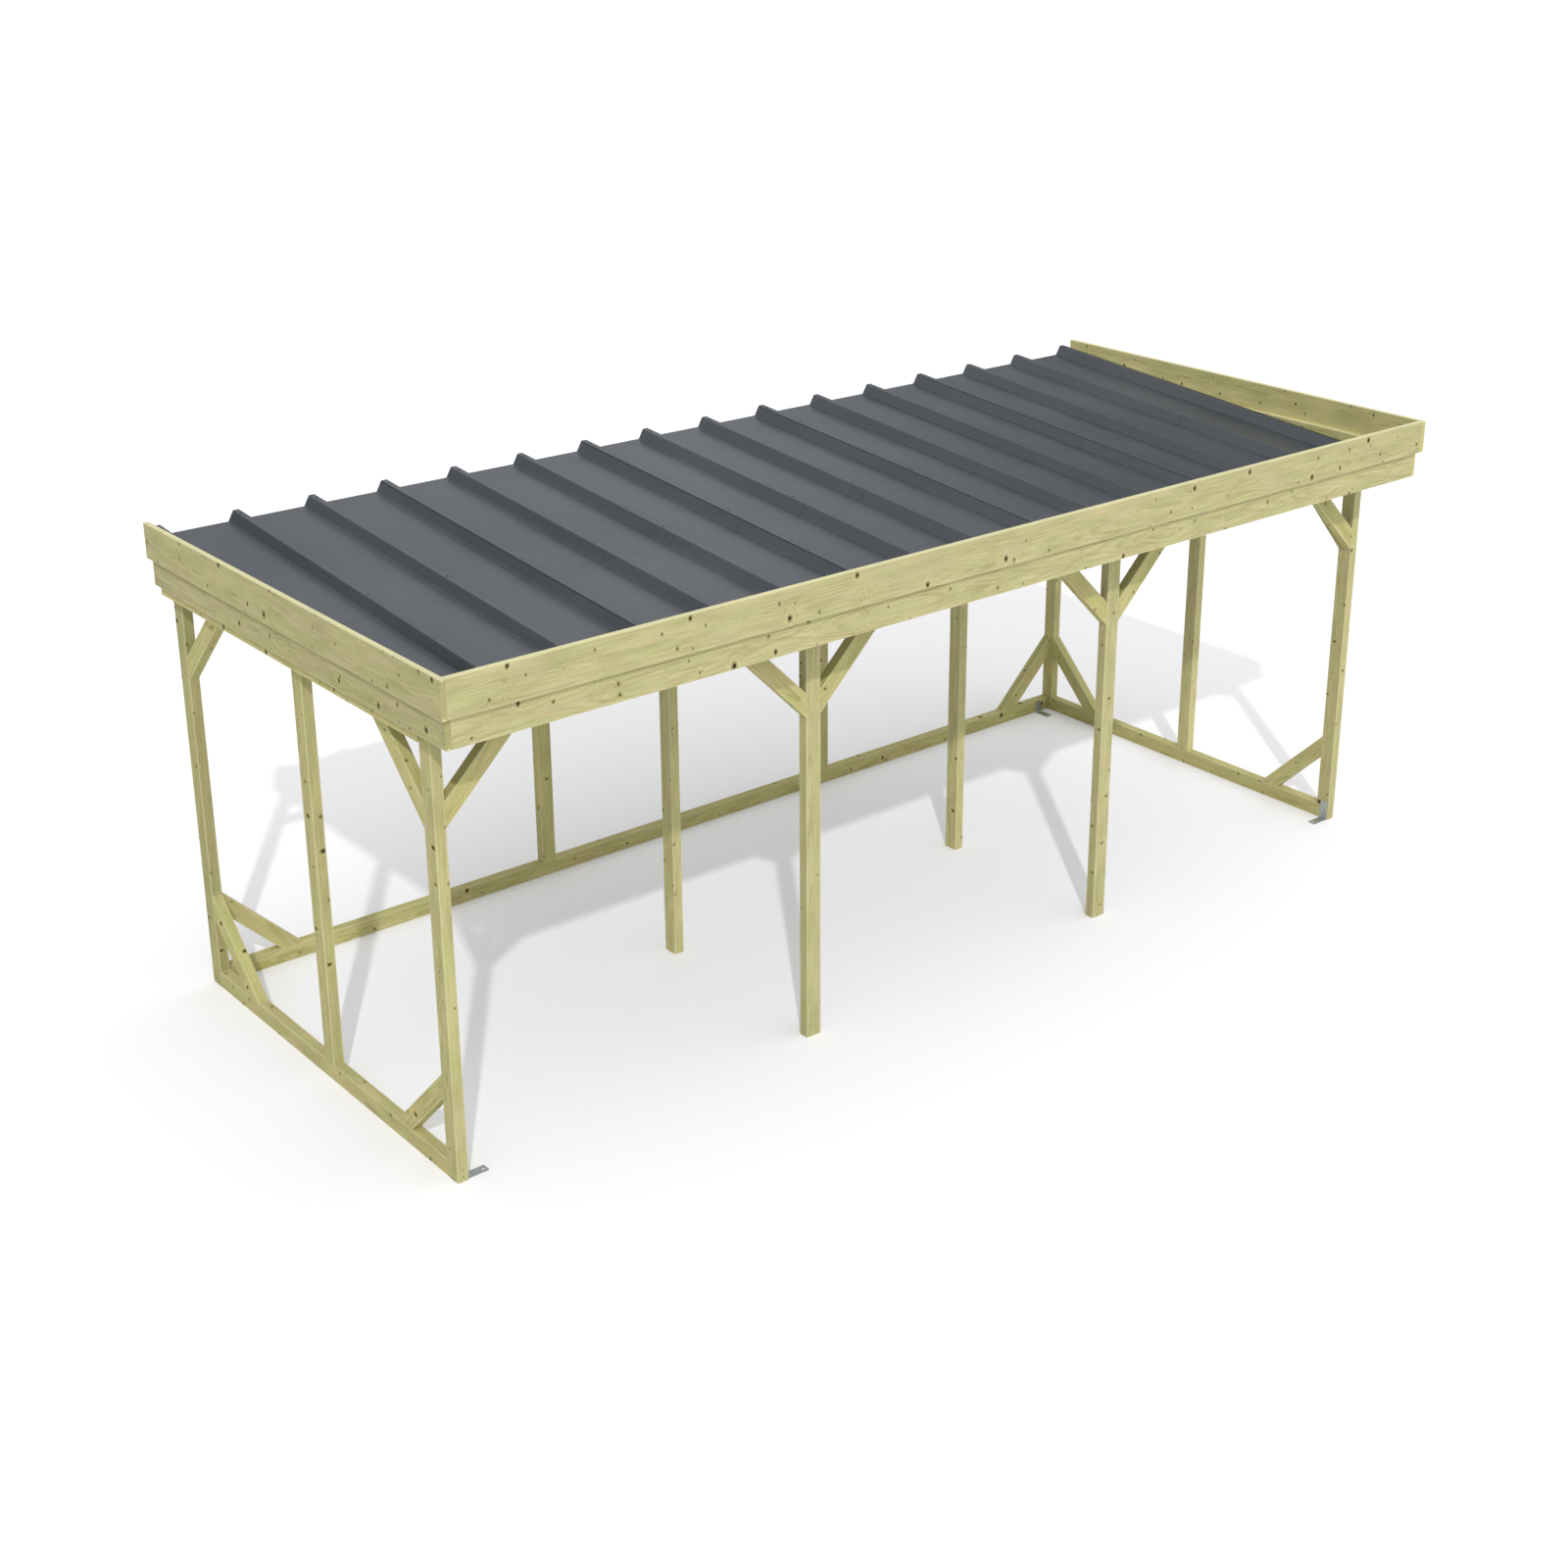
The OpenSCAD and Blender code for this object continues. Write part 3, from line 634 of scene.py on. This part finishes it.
def galvanised_steel():
    material, tree, shader = new_material("mild_steel_hot_dip_galvanised")
    where = add(tree, "TexCoord").outputs["Object"]
    spangle = add(tree, "TexVoronoi", {"Vector": where, "Scale": SPANGLES_PER_M})
    chance = add(tree, "SeparateColor", {0: spangle.outputs["Color"]})
    colour = add(tree, "Mix", {0: chance.outputs[0], A_COLOUR: ZINC_DULL, B_COLOUR: ZINC_BRIGHT},
                 data_type="RGBA").outputs[MIXED_COLOUR]
    roughness = add(tree, "MapRange", {"Value": chance.outputs[1], "To Min": ZINC_ROUGHNESS[0],
                                       "To Max": ZINC_ROUGHNESS[1]})
    tree.links.new(colour, shader.inputs["Base Color"])
    tree.links.new(roughness.outputs[0], shader.inputs["Roughness"])
    shader.inputs["Metallic"].default_value = 1
    return material


# ---- Coated screws ----
# Hardened steel screws dipped in a green-brown ceramic coating: dull, with small specks of wear.

SCREW_COAT = srgb("#7E7750")
SCREW_WORN = srgb("#A09A78")
SPECKS_PER_M = 900
WORN = (0.55, 0.7)       # the specks between which the coating goes from whole to worn


def coated_screw_steel():
    material, tree, shader = new_material("hardened_steel_ceramic_coated")
    where = add(tree, "TexCoord").outputs["Object"]
    speck = add(tree, "TexNoise", {"Vector": where, "Scale": SPECKS_PER_M, "Detail": 2})
    worn = add(tree, "MapRange", {"Value": speck, "From Min": WORN[0], "From Max": WORN[1]})
    colour = add(tree, "Mix", {0: worn, A_COLOUR: SCREW_COAT, B_COLOUR: SCREW_WORN},
                 data_type="RGBA").outputs[MIXED_COLOUR]
    tree.links.new(colour, shader.inputs["Base Color"])
    shader.inputs["Roughness"].default_value = 0.5
    shader.inputs["Metallic"].default_value = 0.4
    return material


# ---- Screws ----
# Each head is modelled once, on the origin, with its seat at z = 0 and its top along +Z.

SOCKET_TAPER = 0.2 * MM


def turned(shape, radius, height, segments, chamfer, base=0.0):
    """Adds a short round or six-sided body with an eased top edge; returns its top face."""
    side = height - chamfer
    bmesh.ops.create_cone(shape, cap_ends=True, segments=segments, radius1=radius, radius2=radius,
                          depth=side, matrix=Matrix.Translation((0, 0, base + side / 2)))
    top = max(shape.faces, key=lambda f: f.calc_center_median().z)
    bmesh.ops.inset_region(shape, faces=[top], thickness=chamfer, depth=chamfer, use_even_offset=True)
    return top


def sink_drive(shape, top, depth, margin):
    """Sinks the socket for the driver into the top face."""
    bmesh.ops.inset_region(shape, faces=[top], thickness=margin, use_even_offset=True)
    bmesh.ops.inset_region(shape, faces=[top], thickness=SOCKET_TAPER, depth=-depth,
                           use_even_offset=True)


def pan_head():
    """A domed head with a flat seat, which draws the bracket to the post."""
    shape = bmesh.new()
    top = turned(shape, radius=4.5 * MM, height=2.8 * MM, segments=12, chamfer=1.3 * MM)
    sink_drive(shape, top, depth=1.6 * MM, margin=1.2 * MM)
    return shape


def countersunk_head():
    """A screw driven flush, whose rim stands just proud of the wood."""
    shape = bmesh.new()
    top = turned(shape, radius=4.2 * MM, height=0.9 * MM, segments=12, chamfer=0.3 * MM,
                 base=-0.5 * MM)
    sink_drive(shape, top, depth=1.2 * MM, margin=1.6 * MM)
    return shape


def roof_screw_head():
    """A low hexagon head on its own flange and sealing washer."""
    shape = bmesh.new()
    turned(shape, radius=6 * MM, height=1.4 * MM, segments=16, chamfer=0.5 * MM, base=-0.6 * MM)
    turned(shape, radius=3.9 * MM, height=2.4 * MM, segments=6, chamfer=0.6 * MM, base=0.6 * MM)
    return shape


def fasten(name, head, seats, material):
    """Joins a copy of the head at each seat, a pair of place and outward direction, into one piece."""
    template = bpy.data.meshes.new(name + "_head")
    bmesh.ops.recalc_face_normals(head, faces=head.faces[:])
    head.to_mesh(template)
    head.free()
    joined = bmesh.new()
    for place, outward in seats:
        before = len(joined.verts)
        joined.from_mesh(template)
        joined.verts.ensure_lookup_table()
        turn = Vector(outward).to_track_quat("Z", "Y").to_matrix().to_4x4()
        bmesh.ops.transform(joined, matrix=Matrix.Translation(place) @ turn, verts=joined.verts[before:])
    mesh = bpy.data.meshes.new(name)
    joined.to_mesh(mesh)
    joined.free()
    bpy.data.meshes.remove(template)
    piece = bpy.data.objects.new(name, mesh)
    bpy.context.scene.collection.objects.link(piece)
    paint(piece, material)
    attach(piece, "root")


BRACKET_T = 2.5 * MM
BRACKET_SCREW_INSET = 12 * MM
LEFT = Vector((-1, 0, 0))
RIGHT = Vector((1, 0, 0))
FRONT = Vector((0, -1, 0))
REAR = Vector((0, 1, 0))
UP = Vector((0, 0, 1))


def bracket_seats():
    """Seats of the pan heads in the uprights. The holes in the feet stay open for ground anchors."""
    screws = []
    for node, toward in (("bracket_front_left", RIGHT), ("bracket_front_right", LEFT),
                         ("bracket_rear_left", FRONT), ("bracket_rear_right", FRONT)):
        low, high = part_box(node)
        back = (low + high) / 2
        foot_axis = 1 if toward == FRONT else 0
        back[foot_axis] = low[foot_axis] if toward == RIGHT else high[foot_axis]
        back.z = 0
        wide = unit_axis(1 - foot_axis)
        for height in (high.z / 2, high.z - BRACKET_SCREW_INSET):
            for inset in (-BRACKET_SCREW_INSET, BRACKET_SCREW_INSET):
                screws.append((back + BRACKET_T * toward + inset * wide + height * UP, toward))
    return screws


LAP_STEP = 1.3 * MM      # how much higher a crest lies where two sheets lap
ROOF_SLOPE = 0.078       # fall over run


def roof_screw_seats():
    """One screw in the crest of each rib over each purlin."""
    pitch = rib_pitch()
    ribs = SHEETS * PITCHES_PER_SHEET + 1
    rear_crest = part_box("roof_sheet_1")[1]
    outward = Vector((0, -ROOF_SLOPE, 1)).normalized()
    seats = []
    for node in ("purlin_front", "purlin_middle", "purlin_rear"):
        low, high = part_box(node)
        y = (low.y + high.y) / 2
        crest = rear_crest.z - LAP_STEP - ROOF_SLOPE * (rear_crest.y - y)
        for rib in range(ribs):
            lapped = rib > 0 and rib % PITCHES_PER_SHEET == 0
            z = crest + (LAP_STEP if lapped else 0)
            seats.append((Vector(((rib - (ribs - 1) / 2) * pitch, y, z)), outward))
    return seats


BRACE_SCREW_INSET = 60 * MM
SUNK = 1 * MM
RAIL_SCREW_HEIGHTS = (20 * MM, 50 * MM)
END_BOARD_SCREWS = 5
PURLIN_SCREW_SHARES = (0.3, 0.7)        # of the purlin's height
CORNER_SCREW_SHARES = (0.2, 0.55, 0.9)  # of the height of a lower board that shows
ARM_SCREW_HEIGHT = 8 * MM


def brace_seats():
    """A screw near each end of a brace, square to the timber it holds, sunk in the sloping edge."""
    seats = []
    for node in BRACES:
        side = BRACES[node][0]
        fold, corner, run, rise, leg, hands = brace_layout(node)
        far = leg - BRACE_SCREW_INSET
        for hand in hands:
            for here, beyond in ((run, rise), (rise, run)):
                place = corner + (BRACE_SCREW_INSET - SUNK) * here + far * beyond
                outward = Vector(here)
                place[side] = fold + hand * place[side]
                outward[side] *= hand
                seats.append((place, outward))
    return seats


def corner_post_seats():
    """Screws through the corner posts into the ends of the rails."""
    seats = []
    rail_low, rail_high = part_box("rail_rear")
    rail_y = (rail_low.y + rail_high.y) / 2
    for hand, outside in (("left", LEFT), ("right", RIGHT)):
        low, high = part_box("post_front_" + hand)
        rear_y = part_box("post_rear_" + hand)[1].y
        x = (low.x + high.x) / 2
        outer_x = low.x if hand == "left" else high.x
        for z in RAIL_SCREW_HEIGHTS:
            seats.append((Vector((x, low.y, z)), FRONT))
            seats.append((Vector((x, rear_y, z)), REAR))
            seats.append((Vector((outer_x, rail_y, z)), outside))
    return seats


def lower_board_seats():
    """Screws through the lower fascia boards: into the beams, a purlin, each other and the arms."""
    seats = []
    front_low, front_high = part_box("fascia_lower_front")
    front_y = front_low.y + (front_high.y - front_low.y) / 2
    covered_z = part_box("fascia_upper_front")[0].z
    purlin_low, purlin_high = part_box("purlin_middle")
    purlin_y = (purlin_low.y + purlin_high.y) / 2
    for hand, outside in (("left", LEFT), ("right", RIGHT)):
        low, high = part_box("fascia_lower_" + hand)
        beam_low, beam_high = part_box("beam_" + hand)
        x = low.x if hand == "left" else high.x
        beam_z = (low.z + beam_high.z) / 2
        screwed_length = beam_high.y - beam_low.y - 2 * TIMBER_W
        for k in range(END_BOARD_SCREWS):
            y = beam_low.y + TIMBER_W + screwed_length * k / (END_BOARD_SCREWS - 1)
            seats.append((Vector((x, y, beam_z)), outside))
        for share in PURLIN_SCREW_SHARES:
            z = purlin_low.z + share * (purlin_high.z - purlin_low.z)
            seats.append((Vector((x, purlin_y, z)), outside))
        for share in CORNER_SCREW_SHARES:
            z = low.z + share * (covered_z - low.z)
            seats.append((Vector((x, front_y, z)), outside))
    arm_low, arm_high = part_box("fascia_arms")
    for x in (arm_low.x + TIMBER_T / 2, arm_high.x - TIMBER_T / 2):
        seats.append((Vector((x, front_low.y, front_low.z + ARM_SCREW_HEIGHT)), FRONT))
    return seats


def make_metal():
    """Paints the sheets and brackets and drives the screws."""
    roof = coated_steel()
    zinc = galvanised_steel()
    for name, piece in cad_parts.items():
        if name.startswith("roof_sheet"):
            paint(piece, roof)
        if name.startswith("bracket"):
            paint(piece, zinc)
    fasten("bracket_screws", pan_head(), bracket_seats(), zinc)
    timber_seats = brace_seats() + corner_post_seats() + lower_board_seats()
    fasten("timber_screws", countersunk_head(), timber_seats, coated_screw_steel())
    fasten("roof_screws", roof_screw_head(), roof_screw_seats(), roof)


# ---- Floor and light ----

FLOOR_HALF_W = 150
FLOOR_DROP = 0.2 * MM    # keeps the floor off the undersides of the posts
FLOOR_SEEN = (0.88, 0.88, 0.9, 1)
FLOOR_LIFT = 0.16
FLOOR_FELT = (0.78, 0.78, 0.78, 1)    # what lights the shelter from below
WHITE = (1, 1, 1, 1)

SUN_WAY = Vector((0.668, 0.954, -1))    # the light comes from the front left, 41 degrees up
SUN_STRENGTH = 1.25
SUN_SPREAD = math.radians(1.3)
SKY_STRENGTH = 0.69
ZENITH_GAIN = 0.35
FRONT_GAIN = 0.4
RIGHT_GAIN = 0.4

CEILING_TINT = (0.985, 1, 1.06, 1)
CEILING_EDGE = (0.16, 0.36)             # heights of a direction between which the ceiling begins
CEILING_STRENGTH = (0.1, 1.28)          # under and over its edge
# Axis of a direction, where a wall starts and is full on it, and its strength beside the ceiling's
WALLS = ((0, 0.56, 0.74, 0.1), (0, -0.5, -0.65, 1.55), (1, 0.72, 0.84, 0.5))


def make_floor():
    """A wide pale floor: white in the light, and pale grey where the shelter shades it."""
    shape = bmesh.new()
    bmesh.ops.create_grid(shape, x_segments=1, y_segments=1, size=FLOOR_HALF_W)
    bmesh.ops.translate(shape, verts=shape.verts, vec=(0, 0, -FLOOR_DROP))
    mesh = bpy.data.meshes.new("floor")
    shape.to_mesh(mesh)
    shape.free()
    floor = bpy.data.objects.new("floor", mesh)
    bpy.context.scene.collection.objects.link(floor)
    material = bpy.data.materials.new("matt_painted_studio_floor")
    material.use_nodes = True
    tree = material.node_tree
    tree.nodes.clear()
    # The eye sees the floor a little whiter than it is, so that it runs into the white behind it
    seen = add(tree, "BsdfDiffuse", {"Color": FLOOR_SEEN})
    lift = add(tree, "Emission", {"Color": WHITE, "Strength": FLOOR_LIFT})
    seen = add(tree, "AddShader", {0: seen, 1: lift})
    felt = add(tree, "BsdfDiffuse", {"Color": FLOOR_FELT})
    path = add(tree, "LightPath")
    surface = add(tree, "MixShader", {0: path.outputs["Is Camera Ray"], 1: felt, 2: seen})
    add(tree, "OutputMaterial", {"Surface": surface})
    floor.data.materials.append(material)


def make_light():
    """One sun, a soft sky that falls on the wood, and a studio that shines in the metal."""
    sun = bpy.data.lights.new("sun", "SUN")
    sun.energy = SUN_STRENGTH
    sun.angle = SUN_SPREAD
    lamp = bpy.data.objects.new("sun", sun)
    lamp.rotation_euler = SUN_WAY.to_track_quat("-Z", "Y").to_euler()
    bpy.context.scene.collection.objects.link(lamp)

    world = bpy.data.worlds.new("studio")
    bpy.context.scene.world = world
    world.use_nodes = True
    tree = world.node_tree
    tree.nodes.clear()
    path = add(tree, "LightPath")
    way = add(tree, "TexCoord").outputs["Generated"]
    direction = add(tree, "SeparateXYZ", {0: way}).outputs
    rightward, backward, upward = direction
    # What shines in the coating and the zinc: a white ceiling above darker walls, darkest on the right
    ceiling = add(tree, "MapRange", {"Value": upward, "From Min": CEILING_EDGE[0],
                                     "From Max": CEILING_EDGE[1], "To Min": CEILING_STRENGTH[0],
                                     "To Max": CEILING_STRENGTH[1]}, interpolation_type="SMOOTHSTEP")
    for axis, start, full, share in WALLS:
        wall = add(tree, "MapRange", {"Value": direction[axis], "From Min": start, "From Max": full,
                                      "To Min": 1, "To Max": share}, interpolation_type="SMOOTHSTEP")
        ceiling = add(tree, "Math", {0: ceiling, 1: wall}, operation="MULTIPLY")
    # What falls on the wood: a little more from overhead, from the front and from the right
    squares = add(tree, "Math", {0: upward, 1: 2}, operation="POWER")
    glow = add(tree, "Math", {0: squares, 1: ZENITH_GAIN, 2: SKY_STRENGTH}, operation="MULTIPLY_ADD")
    glow = add(tree, "Math", {0: backward, 1: -FRONT_GAIN * SKY_STRENGTH, 2: glow},
               operation="MULTIPLY_ADD")
    glow = add(tree, "Math", {0: rightward, 1: RIGHT_GAIN * SKY_STRENGTH, 2: glow},
               operation="MULTIPLY_ADD")
    plain = add(tree, "Background", {"Color": WHITE, "Strength": glow})
    mirrored = add(tree, "Background", {"Color": CEILING_TINT, "Strength": ceiling})
    backdrop = add(tree, "Background", {"Color": WHITE, "Strength": 1})
    shiny = add(tree, "Math", {0: path.outputs["Is Glossy Ray"], 1: path.outputs["Is Transmission Ray"]},
                operation="MAXIMUM")
    sky = add(tree, "MixShader", {0: shiny, 1: plain, 2: mirrored})
    sky = add(tree, "MixShader", {0: path.outputs["Is Camera Ray"], 1: sky, 2: backdrop})
    add(tree, "OutputWorld", {"Surface": sky})


make_camera()
paint_timber()
make_metal()
make_floor()
make_light()

bpy.context.scene.view_settings.view_transform = "Standard"
